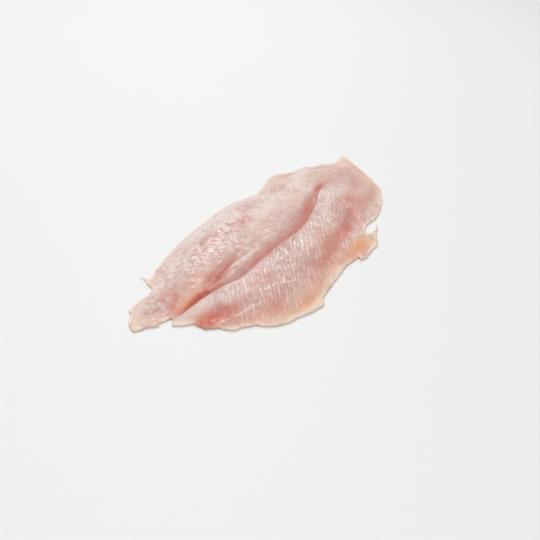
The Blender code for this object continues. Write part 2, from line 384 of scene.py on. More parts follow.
@dataclass(frozen=True)
class Pebbles:
    """The pebbled part of the surface: small wet bumps with furrows between them."""

    size: float = 3.6
    height: float = 0.34
    middle: float = 0.35
    sharpness: float = 1.6
    shift: float = 1.5
    shift_cell: Point = (5.0, 5.0)
    shift_seeds: tuple[float, float] = (51.0, 52.0)
    least: float = 0.02
    places: tuple[Oval, ...] = ovals(
        (-62, 33, 32, 14, 8, 1.1), (-14, 36, 30, 11, 0, 0.45), (-112, 25, 14, 8, 20, 0.6),
    )

    def at(self, points: Array) -> Array:
        """From 0 in the furrows, and outside the pebbled part, to 1 on the bumps."""
        shown = np.clip(total(self.places, points), 0.0, 1.0)
        shift = [smooth_noise(points, self.shift_cell, seed) for seed in self.shift_seeds]
        cells = (points + self.shift * np.column_stack(shift)) / self.size
        bumps = np.zeros(len(points))
        for i in np.nonzero(shown > self.least)[0]:
            near, next_near = noise.voronoi(Vector((*cells[i], 0.5)))[0][:2]
            bumps[i] = min(1.0, self.sharpness * (next_near - near))
        return shown * bumps


@dataclass(frozen=True)
class SeamColour:
    """The rosy trough of the seam, partly its own colour and partly painted shade, and its red
    slit. The spans are shares of the seam's length.
    """

    trough_width: float = 0.75
    trough_starts: Span = (0.0, 0.12)
    trough_ends: Span = (0.93, 0.73)
    wall_ends: Span = (0.96, 0.82)
    rosy: float = 0.85
    paler: float = 0.45
    paler_starts: Span = (0.12, 0.18)
    paler_ends: Span = (0.44, 0.30)
    slit_past_slope: float = 1.5
    slit_starts: Span = (0.0, 0.03)
    slit_ends: Span = (0.23, 0.15)
    slit: float = 0.2

    def at(self, seam: Seam, points: Array) -> tuple[Array, Array]:
        """How rosy, partly as painted shade, and how red the seam makes each point."""
        gap, share, side = seam.beside(points)
        reach = seam.reach(share)
        trough = (side > 0) * (1 - ease((gap - 1.0) / (self.trough_width * reach)))
        trough = trough * rise(share, self.trough_ends)
        trough = trough + (side < 0) * (gap < seam.wall) * rise(share, self.wall_ends)
        paler = rise(share, self.paler_starts) * rise(share, self.paler_ends)
        rosy = (self.rosy - self.paler * paler) * trough * rise(share, self.trough_starts)
        slit = (side > 0) * (1 - ease(gap / (reach + self.slit_past_slope)))
        return rosy, self.slit * slit * rise(share, self.slit_starts) * rise(share, self.slit_ends)


@dataclass(frozen=True)
class PaleRim:
    """The cream rim, uneven in width and strength, and weaker where the meat is peach or red. It is
    its own colour, painted brighter and wider as a painted highlight along the edge.
    """

    width: float = 2.3
    width_varies: float = 1.4
    strength: float = 0.85
    strength_varies: float = 0.4
    cell: Point = (4.0, 4.0)
    seed: float = 61.0
    peach_hides: float = 0.45
    red_hides: float = 0.8

    def at(self, points: Array, rim_gap: Array, peach: Array, red: Array) -> Array:
        """How much the rim shows at each point.

        Args:
            points: The points, one row each.
            rim_gap: Their distance to the rim.
            peach: How peach each is.
            red: How red each is.

        Returns:
            The rim's share in the colour of each.
        """
        patchy = smooth_noise(points, self.cell, self.seed)
        near = 1 - ease(rim_gap / (self.width + self.width_varies * patchy))
        rim = (self.strength + self.strength_varies * patchy) * near
        return rim * (1 - self.peach_hides * ease(peach)) * (1 - self.red_hides * ease(red))


class Mask(Enum):
    """What the mesh tells the finish about each of its points."""

    RIM = "rim"
    RED = "red"
    ROSY = "rosy"
    PEACH = "peach"
    CREAM = "cream"
    # paler tissue and painted sheen, and painted shade where negative
    PALE = "pale"
    MEMBRANE = "membrane"
    # paler fibre crests: partly paler tissue, partly painted highlight
    STROKES = "strokes"
    # painted shade: a darker red laid into creases and recesses
    DEEP = "deep"
    GRAIN = "grain"
    PEBBLES = "pebbles"
    MOTTLED = "mottled"


@dataclass(frozen=True)
class Socket:
    """One output of a node, used in expressions. Sums and products of values add Math nodes."""

    nodes: "Nodes"
    output: bpy.types.NodeSocket

    def __add__(self, other: "Value") -> "Socket":
        """Adds a value."""
        return self.nodes.maths("ADD", self, other)

    def __radd__(self, other: "Value") -> "Socket":
        """Is added to a value."""
        return self.nodes.maths("ADD", other, self)

    def __sub__(self, other: "Value") -> "Socket":
        """Takes a value away."""
        return self.nodes.maths("SUBTRACT", self, other)

    def __rsub__(self, other: "Value") -> "Socket":
        """Is taken away from a value."""
        return self.nodes.maths("SUBTRACT", other, self)

    def __mul__(self, other: "Value") -> "Socket":
        """Multiplies by a value."""
        return self.nodes.maths("MULTIPLY", self, other)

    def __rmul__(self, other: "Value") -> "Socket":
        """Multiplies a value."""
        return self.nodes.maths("MULTIPLY", other, self)

    def clamped(self) -> "Socket":
        """Kept between 0 and 1."""
        return self.nodes.add("ShaderNodeClamp", {}, {"Value": self})


Value = Socket | float | Sequence[float]
Weights = tuple[tuple[Mask, float], ...]


@dataclass(frozen=True)
class Nodes:
    """Adds nodes to the tree of one material."""

    tree: bpy.types.NodeTree

    def add(
        self,
        kind: str,
        settings: Mapping[str, object],
        values: Mapping[str | int, Value],
        output: str | int = 0,
    ) -> Socket:
        """Adds a node.

        Args:
            kind: The node's type.
            settings: Its own settings, set before its sockets.
            values: The value or link of each input, by the input's name, identifier or number.
            output: Which of its outputs to return.

        Returns:
            That output.
        """
        node = self.tree.nodes.new(kind)
        for name, setting in settings.items():
            setattr(node, name, setting)
        for name, value in values.items():
            self.feed(self.pick(node.inputs, name), value)
        return Socket(self, self.pick(node.outputs, output))

    def pick(
        self, sockets: Iterable[bpy.types.NodeSocket], name: str | int
    ) -> bpy.types.NodeSocket:
        """The socket with this number, identifier or name."""
        named = list(sockets)
        if isinstance(name, int):
            return named[name]
        by_identifier = [socket for socket in named if socket.identifier == name]
        return (by_identifier or [socket for socket in named if socket.name == name])[0]

    def feed(self, target: bpy.types.NodeSocket, value: Value) -> None:
        """Links a socket to the input, or sets the input to a value."""
        if isinstance(value, Socket):
            self.tree.links.new(value.output, target)
        else:
            target.default_value = value

    def maths(self, operation: str, first: Value, second: Value) -> Socket:
        """A Math node on two values."""
        return self.add("ShaderNodeMath", {"operation": operation}, {0: first, 1: second})

    def mask(self, name: Mask) -> Socket:
        """What the mesh says under this name."""
        return self.add("ShaderNodeAttribute", {"attribute_name": name.value}, {}, "Fac")

    def weighed(self, weights: Weights) -> Socket:
        """The sum of these masks, each times its weight."""
        first, *others = [self.mask(mask) * weight for mask, weight in weights]
        return sum(others, first)

    def blend(self, first: Value, second: Value, factor: Value) -> Socket:
        """A mix of two colours."""
        return self.add(
            "ShaderNodeMix",
            {"data_type": "RGBA"},
            {"Factor_Float": factor, "A_Color": first, "B_Color": second},
            "Result_Color",
        )

    def step(self, value: Value, span: Span) -> Socket:
        """A smooth step from 0 at the span's first value to 1 at its second."""
        return self.add(
            "ShaderNodeMapRange",
            {"interpolation_type": "SMOOTHSTEP"},
            {"Value": value, "From Min": span[0], "From Max": span[1]},
        )

    def cloud(self, place: Socket, kind: "Cloud") -> Socket:
        """Noise of this kind, from 0 to 1, at each place."""
        scale = 1 / (kind.size * MM)
        scaled = self.add(
            "ShaderNodeVectorMath",
            {"operation": "MULTIPLY"},
            {0: place, 1: (scale / kind.stretch, scale, scale)},
        )
        return self.add(
            "ShaderNodeTexNoise", {}, {"Vector": scaled, "Scale": 1.0, "Detail": kind.detail})


@dataclass(frozen=True)
class Cloud:
    """A kind of noise: its blobs' size in millimetres, its finer layers, and how much it counts.

    The blobs are longer along the first axis by the stretch. Where a span is given, the noise
    counts from its first value on, and in full from its second.
    """

    size: float
    detail: float = 2.0
    weight: float = 1.0
    span: Span = (0.0, 1.0)
    stretch: float = 1.0


def on_screen(red: int, green: int, blue: int) -> Colour:
    """A full colour in linear light, given as it looks on a screen, from 0 to 255."""
    shift, power = 0.055, 2.4
    parts = [((part / 255 + shift) / (1 + shift)) ** power for part in (red, green, blue)]
    return (*parts, 1.0)


@dataclass(frozen=True)
class RawMeat:
    """The finish of wet raw poultry: pink flesh, rosy hollows and creases that are partly painted
    shade, painted glints and highlights, a cream rim and pale strands.
    """

    flesh: Colour = on_screen(196, 158, 149)
    light_flesh: Colour = on_screen(228, 211, 205)
    # rosy: the meat's own colour, also used as painted shade in the seam's trough and the upper
    # crease
    rosy: Colour = on_screen(200, 128, 117)
    red: Colour = on_screen(194, 93, 71)
    # painted shade: a darker red for the creases, the slit and the seam's pit
    deep: Colour = on_screen(172, 88, 76)
    peach: Colour = on_screen(224, 158, 120)
    cream: Colour = on_screen(232, 206, 180)
    # rim: its own cream, lightened as a painted highlight along the edge
    rim: Colour = on_screen(248, 226, 208)
    membrane: Colour = on_screen(242, 226, 218)
    roughness: float = 0.55
    coat_roughness: float = 0.17
    shine: float = 0.35
    subsurface: float = 0.25
    glow_depth: float = 0.002
    glow_spread: Colour = (1.0, 0.42, 0.30)
    refraction: float = 1.4

    broad: Cloud = Cloud(14.0, 3.0, 1.3)
    blotches: Cloud = Cloud(4.6, 2.0, 4.2)
    mottle: Cloud = Cloud(3.2, 3.0, 1.0)
    speckle: Cloud = Cloud(1.7, 2.0, 0.7)
    rosy_patches: Cloud = Cloud(3.4, 4.0, 0.30, (0.52, 0.74))
    cream_patches: Cloud = Cloud(7.0, 3.0, 0.18, (0.50, 0.76))
    # painted glints: tiny spots of membrane colour that stand in for glints of light on wet meat
    painted_glints: Cloud = Cloud(1.9, 1.0, 1.0, (0.60, 0.70))
    gloss_patches: Cloud = Cloud(5.0, 2.0, 0.25)
    wet_patches: Cloud = Cloud(3.6, 2.0, 0.36, (0.42, 0.66))
    fine_grain: Cloud = Cloud(0.9, 2.0, 0.6)
    streaks: Cloud = Cloud(0.8, 2.0, stretch=7.0)

    lightness: float = 0.33
    # masks that lighten the colour: partly paler tissue, partly painted highlight on fibre crests
    # and pebble tops, and painted sheen and shade
    lightens_and_highlights: Weights = ((Mask.PALE, 0.6), (Mask.STROKES, 0.32), (Mask.PEBBLES, 0.5))
    patchy_mottle: float = 1.8
    patchy_broad: float = 1.2
    painted_glints_all_over: float = 0.12
    flecks_on: Weights = ((Mask.MOTTLED, 0.55), (Mask.STROKES, 0.25))
    film: float = 0.08
    film_on: Weights = ((Mask.PEBBLES, 0.3),)
    streak_turn: float = -26.0
    grain_height: float = 0.25
    grain_strength: float = 0.6

    def material(self) -> bpy.types.Material:
        """The material, with its nodes."""
        material = bpy.data.materials.new("wet_raw_meat")
        material.use_nodes = True
        nodes = Nodes(material.node_tree)
        shader = material.node_tree.nodes["Principled BSDF"]
        place = nodes.add("ShaderNodeTexCoord", {}, {}, "Object")
        for name, value in (
            ("Base Color", self.colour(nodes, place)),
            ("Roughness", self.gloss(nodes, place)),
            ("Coat Weight", self.wetness(nodes, place)),
            ("Normal", self.grain(nodes, place)),
            ("Coat Roughness", self.coat_roughness),
            ("Specular IOR Level", self.shine),
            ("Subsurface Weight", self.subsurface),
            ("Subsurface Radius", self.glow_spread),
            ("Subsurface Scale", self.glow_depth),
            ("IOR", self.refraction),
        ):
            nodes.feed(shader.inputs[name], value)
        material.diffuse_color = self.flesh
        return material

    def colour(self, nodes: Nodes, place: Socket) -> Socket:
        """The colour of the meat, with painted shade, painted highlights and painted glints in it.

        Args:
            nodes: The builder of the nodes.
            place: The place of each point.

        Returns:
            The colour.
        """
        broad, blotches, mottle, speckle = (
            nodes.cloud(place, kind) - 0.5
            for kind in (self.broad, self.blotches, self.mottle, self.speckle)
        )
        lightness = nodes.weighed(self.lightens_and_highlights) + self.lightness
        lightness = lightness + broad * self.broad.weight + mottle * self.mottle.weight
        lightness = lightness + speckle * self.speckle.weight
        lightness = lightness + nodes.mask(Mask.MOTTLED) * (blotches * self.blotches.weight)
        colour = nodes.blend(self.flesh, self.light_flesh, lightness.clamped())
        patchy = mottle * self.patchy_mottle + broad * self.patchy_broad + 1.0
        extra = {
            Mask.ROSY: self.patches(nodes, place, self.rosy_patches),
            Mask.CREAM: self.patches(nodes, place, self.cream_patches),
        }
        for mask, shade in (
            (Mask.PEACH, self.peach), (Mask.ROSY, self.rosy), (Mask.CREAM, self.cream),
            (Mask.RED, self.red), (Mask.DEEP, self.deep), (Mask.RIM, self.rim),
            (Mask.MEMBRANE, self.membrane),
        ):
            amount = (nodes.mask(mask) * patchy + extra.get(mask, 0.0)).clamped()
            colour = nodes.blend(colour, shade, amount)
        # painted glints: tiny pale spots, most on the mottled part and the fibres
        painted_glints = self.patches(nodes, place, self.painted_glints)
        shown = nodes.weighed(self.flecks_on) + self.painted_glints_all_over
        return nodes.blend(colour, self.membrane, (painted_glints * shown).clamped())

    def patches(self, nodes: Nodes, place: Socket, kind: Cloud) -> Socket:
        """Patches where this noise is above its span, as strong as its weight."""
        return nodes.step(nodes.cloud(place, kind), kind.span) * kind.weight

    def turned(self, nodes: Nodes, place: Socket) -> Socket:
        """The place, turned so that its first axis lies along most of the fibres."""
        return nodes.add(
            "ShaderNodeVectorRotate",
            {"rotation_type": "Z_AXIS"},
            {"Vector": place, "Angle": math.radians(self.streak_turn)},
        )

    def gloss(self, nodes: Nodes, place: Socket) -> Socket:
        """Roughness, lower where the surface is wetter."""
        kind = self.gloss_patches
        return (nodes.cloud(place, kind) - 0.5) * kind.weight + self.roughness

    def wetness(self, nodes: Nodes, place: Socket) -> Socket:
        """Weight of the film of juice."""
        patches = self.patches(nodes, place, self.wet_patches)
        return (patches + nodes.weighed(self.film_on) + self.film).clamped()

    def grain(self, nodes: Nodes, place: Socket) -> Socket:
        """The direction of the surface, roughened by grain too fine for the mesh."""
        fine = nodes.cloud(place, self.fine_grain) * self.fine_grain.weight
        streaks = nodes.cloud(self.turned(nodes, place), self.streaks)
        return nodes.add("ShaderNodeBump", {}, {
            "Height": fine + streaks,
            "Distance": self.grain_height * MM,
            "Strength": self.grain_strength,
        })


@dataclass(frozen=True)
class Slice:
    """The slice of meat, one closed mesh: a top and an underside that share the outline."""

    name: str = "turkey_escalope"
    outline: Outline = Outline()
    seam: Seam = Seam()
    finish: RawMeat = RawMeat()
    pebbles: Pebbles = Pebbles()
    seam_colour: SeamColour = SeamColour()
    pale_rim: PaleRim = PaleRim()

    ring_height: float = 0.8
    rim_top: float = 2.4
    round_top: float = 2.6
    round_below: float = 0.9
    body_top: float = 8.3
    body_reach: float = 22.0
    relief_reach: float = 9.0

    swells: tuple[Oval, ...] = ovals(
        (-28, 34, 58, 17, 0, 1.9), (62, 40, 19, 11, 5, 1.4), (-42, -22, 48, 17, 6, 1.6),
        (35, -16, 42, 13, 18, 1), (4, -46, 19, 6.5, 0, 1.2), (-113, 26, 13, 7.5, 20, 0.9),
        (104, 6, 30, 22, 35, -2.2), (-128, 24, 14, 14, 0, -1.4),
    )
    creases: tuple[Band, ...] = (
        Band(((-94, 8.4), (-86, 8), (-76, 8.6), (-66, 9.6), (-54, 9.8), (-40, 8.6)), 2.4, -1),
        Band(
            ((-28, -36.4), (-14, -33.8), (-3, -31.4), (9, -31.8), (21, -30.4), (33, -25.2),
             (51, -19.6), (72, -12.6)),
            4.6, -1.5,
        ),
        Band(((2, 27), (16, 25), (32, 27), (42, 34)), 6, -0.9),
        Band(((-114, -1), (-106, -6.5), (-95, -12.5)), 5, -1.2),
    )
    seam_bump: Oval = Oval((49.5, 7), 3.2, 2.8, 0, 1.3)
    seam_pit: Oval = Oval((57, 6.4), 6.5, 2, 0, -0.8)
    waves: tuple[tuple[float, float], ...] = ((34.0, 0.55), (13.0, 0.28))
    wave_seed: tuple[float, float, float] = (3.7, 11.3, 0.0)
    ripples: tuple[tuple[float, float], ...] = ((6.0, 0.20), (2.6, 0.08))
    ripple_seed: float = 41.0
    nibble: float = 0.30
    nibbles: tuple[tuple[float, float], ...] = ((2.8, 0.55), (1.1, 0.35))
    nibble_seed: float = 7.0
    deepest_nibble: float = 0.9

    flap_fibres: Fibres = Fibres(0.55, -0.0022, 2.3, 6.0, 0.10, 1.4, 2.0)
    lobe_fibres: Fibres = Fibres(0.75, -0.005, 2.8, 11.0, 0.05, 0.5, 14.0)
    slope_fibres: Fibres = Fibres(0.08, 0.0008, 2.6, 24.0, 0.03, 0.3, 23.0)
    far_side: Span = (-4.0, 4.0)
    slope_ends: Span = (8.0, 20.0)
    flap_from_edge: Span = (-50.0, -38.0)
    flap_from_left: Span = (-112.0, -97.0)
    flap_fades: Span = (30.0, 75.0)
    flap_fade: float = 0.85
    bare_lip: float = 0.7
    bare_lip_width: Span = (9.0, 3.0)
    bare_lip_length: Span = (0.45, 0.30)

    mottled: tuple[Oval, ...] = ovals(
        (-52, 32, 34, 13, 4, 1), (-14, 33, 24, 10, 0, 0.6), (-110, 24, 14, 8, 20, 0.7),
        (48, 38, 22, 9, 0, 0.4),
    )

    strands: tuple[Band, ...] = (
        Band(
            ((-100, -14), (-97, -17.6), (-92, -19.4), (-88.6, -20.4), (-86.6, -22.9),
             (-83, -24.4)),
            0.45, 0.6, 0.2, 0.8,
        ),
        Band(((-109, -10.2), (-104.5, -12), (-101.5, -15)), 0.6, 0.6, 0.2, 0.8),
        Band(((-68, -26), (-63, -29.6), (-57, -31.8)), 0.45, 0.6, 0.2, 0.8),
        Band(((-92.6, 42.6), (-90.6, 45), (-89, 50)), 1, 1.2, 0.1, 0.8),
        Band(((-69, 5.4), (-60, 5.5), (-48, 4), (-34, 2)), 0.8, 0.5, 0.2, 1),
    )
    strand_height: float = 0.25

    ring_step: float = 0.8
    step: float = 0.62
    step_below: float = 2.2
    rim_rows: tuple[float, ...] = (0.22, 0.5, 0.85, 1.3, 1.85, 2.4)
    rim_rows_below: tuple[float, ...] = (0.5, 1.3)
    thinned_from: float = 3.0
    true_inset: float = 0.93

    def height_of_top(self, rim_gap: Array, relief: Array) -> Array:
        """The top's height where the rim is this far and the relief stands this high."""
        depth = ease(rim_gap / self.body_reach)
        body = self.rim_top + depth * (self.body_top - self.rim_top)
        body = body + ease(rim_gap / self.relief_reach) * relief
        rounding = quarter_round(rim_gap / self.round_top)
        return self.ring_height + (body - self.ring_height) * rounding

    def broad_relief(self, points: Array) -> Array:
        """The relief that the solid has too."""
        relief = total(self.swells, points) + total(self.creases, points)
        relief = relief + self.seam.relief(points)
        for length, height in self.waves:
            places = [Vector((x, y, 0.0)) / length + Vector(self.wave_seed) for x, y in points]
            relief = relief + height * np.array([noise.noise(place) for place in places])
        return relief

    def fibre_parts(self, points: Array) -> tuple[tuple[Fibres, Array], ...]:
        """The kinds of fibre, and how much each shows at each point."""
        x, y = points.T
        gap, share, side = self.seam.beside(points)
        offset = np.where(share < 1.0, gap * side, y - self.seam.route[-1][1])
        far = rise(offset, self.far_side)
        slope = far * (1 - rise(offset, self.slope_ends))
        flap = (1 - far) * rise(y, self.flap_from_edge) * rise(x, self.flap_from_left)
        flap = flap * (1 - self.flap_fade * rise(x, self.flap_fades))
        lip = rise(gap, self.bare_lip_width) * rise(share, self.bare_lip_length)
        return (
            (self.flap_fibres, flap * (1 - self.bare_lip * lip)),
            (self.lobe_fibres, far - slope),
            (self.slope_fibres, slope),
        )

    def fine_relief(self, points: Array, masks: Mapping[Mask, Array]) -> Array:
        """The relief that only this mesh has, in millimetres."""
        pebbles = self.pebbles.height * (masks[Mask.PEBBLES] - self.pebbles.middle)
        relief = masks[Mask.GRAIN] + pebbles
        relief = relief + self.strand_height * masks[Mask.MEMBRANE]
        relief = relief + total((self.seam_bump, self.seam_pit), points)
        for size, height in self.ripples:
            relief += height * smooth_noise(points, (size, size), self.ripple_seed + size)
        return relief

    def masks(self, points: Array, rim_gap: Array) -> dict[Mask, Array]:
        """What the finish needs to know about each point."""
        seam_rosy_and_shade, seam_red = self.seam_colour.at(self.seam, points)
        red = seam_red + total(RED_PLACES, points)
        peach = total(PEACH_PLACES, points)
        fibres = [(kind, shown * kind.bundles(points)) for kind, shown in self.fibre_parts(points)]
        return {
            Mask.RIM: self.pale_rim.at(points, rim_gap, peach, red),
            Mask.RED: red,
            Mask.DEEP: total(PAINTED_SHADE_PLACES, points),
            Mask.ROSY: seam_rosy_and_shade + total(ROSY_AND_SHADE_PLACES, points),
            Mask.PEACH: peach,
            Mask.CREAM: total(CREAM_PLACES, points),
            Mask.PALE: total(PALE_SHEEN_AND_SHADE_PLACES, points),
            Mask.MEMBRANE: total(self.strands, points),
            # paler fibre crests, partly painted highlight on them
            Mask.STROKES: sum(kind.tint * pattern for kind, pattern in fibres),
            Mask.GRAIN: sum(kind.height * pattern for kind, pattern in fibres),
            Mask.PEBBLES: self.pebbles.at(points),
            Mask.MOTTLED: total(self.mottled, points),
        }

    def ragged(self, ring: Array) -> Array:
        """The ring, nibbled inwards unevenly."""
        depth = np.full(len(ring), self.nibble)
        for size, strength in self.nibbles:
            depth += strength * smooth_noise(ring, (size, size), self.nibble_seed + size)
        return ring + np.clip(depth, 0.0, self.deepest_nibble)[:, None] * self.inward(ring)

    def inward(self, ring: Array) -> Array:
        """The direction into the meat at each point of the ring."""
        tangent = np.roll(ring, -1, axis=0) - np.roll(ring, 1, axis=0)
        normal = np.column_stack([-tangent[:, 1], tangent[:, 0]])
        return normal / np.linalg.norm(normal, axis=1)[:, None]

    def inner_points(
        self, ring: Array, rows: Sequence[float], step: float, with_seam: bool
    ) -> Array:
        """The mesh points inside the ring.

        Args:
            ring: The outline.
            rows: Distances of the rows that follow it.
            step: The spacing of the grid that fills the rest.
            with_seam: Whether rows follow the seam too.

        Returns:
            The points, one row each.
        """
        kept = []
        inward = self.inward(ring)
        for row, distance in enumerate(rows):
            line = ring + distance * inward
            line = line[row % 2::2] if distance > self.thinned_from * rows[0] else line
            gap = nearest_on_line(line, ring, closed=True)[0]
            kept.append(line[(gap > self.true_inset * distance) & inside(line, ring)])
        low, high = ring.min(axis=0), ring.max(axis=0)
        xs = np.arange(low[0], high[0], step)
        triangle_height = step * math.sqrt(0.75)
        ys = np.arange(low[1], high[1], triangle_height)
        grid = np.array([(x + step * (i % 2) / 2, y) for i, y in enumerate(ys) for x in xs])
        if with_seam:
            grid = grid[self.seam.beyond_rows(grid, 0.5 * step)]
            grid = np.vstack([grid, self.seam.rows(step)])
        grid = grid[inside(grid, ring)]
        gap = nearest_on_line(grid, ring, closed=True)[0]
        kept.append(grid[gap > rows[-1] + 0.5 * step])
        return np.vstack(kept)

    def flat_sheet(self, ring: Array, inner: Array) -> tuple[Array, list[list[int]]]:
        """Triangles inside the ring through the inner points.

        An edge that joins two points of the ring across the meat is split, so that the top and
        the underside share nothing but the ring.

        Args:
            ring: The outline, whose points come first in the result.
            inner: The points inside it.

        Returns:
            The places, and the faces as lists of their numbers.
        """
        same_place, inside_only = 1e-5, 1
        corners = [Vector(point) for point in np.vstack([ring, inner])]
        border = [(i, (i + 1) % len(ring)) for i in range(len(ring))]
        places, _, faces = delaunay_2d_cdt(corners, border, [], inside_only, same_place)[:3]
        sheet = bmesh.new()
        verts = [sheet.verts.new((place.x, place.y, 0.0)) for place in places]
        for face in faces:
            sheet.faces.new([verts[i] for i in face])
        sheet.verts.index_update()
        chords = [
            edge for edge in sheet.edges
            if len(edge.link_faces) == 2 and all(vert.index < len(ring) for vert in edge.verts)
        ]
        bmesh.ops.subdivide_edges(sheet, edges=chords, cuts=1)
        bmesh.ops.triangulate(sheet, faces=sheet.faces[:])
        sheet.verts.index_update()
        flat = np.array([vert.co.xy for vert in sheet.verts])
        triangles = [[vert.index for vert in face.verts] for face in sheet.faces]
        sheet.free()
        return flat, triangles

    def mesh(self) -> bpy.types.Mesh:
        """The closed mesh, in metres, where the solid is."""
        smooth_ring = self.outline.ring(self.ring_step)
        ring = self.ragged(smooth_ring)
        top, top_faces = self.flat_sheet(
            ring, self.inner_points(ring, self.rim_rows, self.step, True))
        below, below_faces = self.flat_sheet(
            ring, self.inner_points(ring, self.rim_rows_below, self.step_below, False))
        count = len(ring)
        top_gap = nearest_on_line(top, ring, closed=True)[0]
        below_gap = nearest_on_line(below, ring, closed=True)[0]
        masks = self.masks(top, top_gap)
        relief = self.broad_relief(top) + self.fine_relief(top, masks)
        top_z = self.height_of_top(top_gap, relief)
        top_z[:count] = self.ring_height
        below_z = self.ring_height * (1 - quarter_round(below_gap / self.round_below))
        top_z = np.minimum(top_z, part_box(SOLID)[1].z / MM)
        middle = (smooth_ring.min(axis=0) + smooth_ring.max(axis=0)) / 2
        places = np.vstack([
            np.column_stack([top - middle, top_z]),
            np.column_stack([below[count:] - middle, below_z[count:]]),
        ])
        shift = len(top) - count
        underside = [
            [i if i < count else i + shift for i in reversed(face)] for face in below_faces
        ]
        mesh = bpy.data.meshes.new(self.name)
        mesh.from_pydata((places * MM).tolist(), [], top_faces + underside)
        below_masks = self.masks(below[count:], below_gap[count:])
        for mask, values in masks.items():
            attribute = mesh.attributes.new(mask.value, "FLOAT", "POINT")
            joined = np.concatenate([values, below_masks[mask]])
            attribute.data.foreach_set("value", joined.astype(np.float32))
        mesh.shade_smooth()
        return mesh

    def build(self) -> bpy.types.Object:
        """Makes the piece, finishes it and puts it in the solid's place."""
        piece = bpy.data.objects.new(self.name, self.mesh())
        bpy.context.scene.collection.objects.link(piece)
        piece.data.materials.append(self.finish.material())
        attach(piece, BODY)
        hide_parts(SOLID)
        return piece


RED_PLACES = (
    Band(((-113.5, 13.6), (-108, 10.4), (-100, 8), (-94, 6.2), (-88, 5.6)), 1.5, 0.45, 0.1),
    *ovals(
        (-91.5, 6.2, 4, 1.8, -12, 0.5), (-77, 6.6, 7, 2.4, 4, 0.75), (-80, 10.5, 5, 2.6, 5, 0.35),
        (-107.6, -6.8, 8, 4.4, -48, 1.2), (57.5, 6.5, 6.5, 2, 0, 0.6),
    ),
)
# Painted shade: the upper crease, the slit, the seam's pit and the flap's hollow are painted darker
# here.
PAINTED_SHADE_PLACES = (
    Band(((-86, 5.6), (-80, 6.4), (-74, 7.6), (-66, 8.8), (-56, 9.4), (-46, 9.4)), 1.5, 0.5, 0.3),
    *ovals(
        (-77.5, 6.6, 6, 2.4, 6, 0.45), (-91, 4.4, 4, 1.4, -14, 0.3), (56.5, 6.2, 5, 1.4, 0, 0.45),
        (-108.8, -4.8, 5, 2.6, -48, 0.4),
    ),
)
# Rosy places, mostly the meat's own colour; some, along the upper crease and the seam's far slope,
# are painted shade.
ROSY_AND_SHADE_PLACES = (
    Band(((-76, 8.6), (-67, 8.8), (-56, 9), (-50, 9)), 1.6, 0.6, 0.2),
    Band(((-113, 15), (-104, 17), (-98, 18)), 2, 0.5, 0.2),
    Band(((-92, -27), (-80, -33), (-64, -35), (-48, -33), (-28, -30)), 5.5, 0.2, 0.15),
    Band(((-46, -36.5), (-26, -34), (-4, -33), (12, -31.5), (28, -28.5)), 3.4, 0.75, 0.2),
    *ovals(
        (-74, 7, 13, 4.5, 0, 0.6), (-52, -0.5, 10, 2.4, -4, 0.3), (-70, 15, 13, 5, 0, 0.2),
        (-100, 24, 8, 5, 20, 0.35), (-48, 32, 14, 6, -10, 0.3), (-16, 26, 8, 3.2, 0, 0.7),
        (15, 33, 7, 4, 30, 0.25), (-1, 34, 7, 4, 30, 0.2), (5, 12, 8, 7, 0, 0.1),
        (-60, 44, 10, 4, 5, 0.25), (-98, -6, 7, 4, -20, 0.35), (84, 4, 16, 6, 10, 0.2),
        (-108, 12, 6, 3, -30, 0.25), (40, 34, 8, 4, 25, 0.25), (55, 5.5, 9, 3, 5, 0.35),
        (70, 37, 12, 4, 26, 0.15), (5, -32.5, 9, 3.5, 0, 0.6), (28, -28, 14, 4, 12, 0.4),
        (35, -24.5, 7, 3, 22, 0.5), (27, -19, 12, 3, 20, 0.2), (52, -18.5, 8, 4, 15, 0.55),
        (62, -26, 20, 4, 12, 0.25), (79, -10, 12, 4, 18, 0.25), (96, 5, 16, 4, 20, 0.3),
        (100, 14, 9, 3.5, 20, 0.2), (114, 3, 9, 4, 45, 0.2), (-66, -18, 8, 13, 0, 0.2),
        (-84, -28, 8, 7, 0, 0.25), (-100, -10.5, 8, 4.5, -40, 0.85), (-92, -15, 9, 4, -20, 0.3),
        (50, -25, 12, 4, 10, 0.35), (24, -26, 14, 4, 14, 0.25), (-12, -28.5, 12, 4, 0, 0.3),
        (-116, 17, 6, 3, -20, 0.4), (-92, 6, 9, 3, -10, 0.45), (-100, 20, 6, 4, 0, 0.3),
        (62, 9, 14, 4, 10, 0.3), (104, 1, 13, 4, 35, 0.3), (103, 12, 12, 6, 30, 0.25),
        (90, -8, 16, 5, 35, 0.2), (80, -14, 11, 12, 0, 0.22), (74, -27, 12, 3, 10, 0.3),
        (30, 3.5, 14, 2.4, 12, 0.3), (45, -15, 7, 4, 10, 0.35),
    ),
)
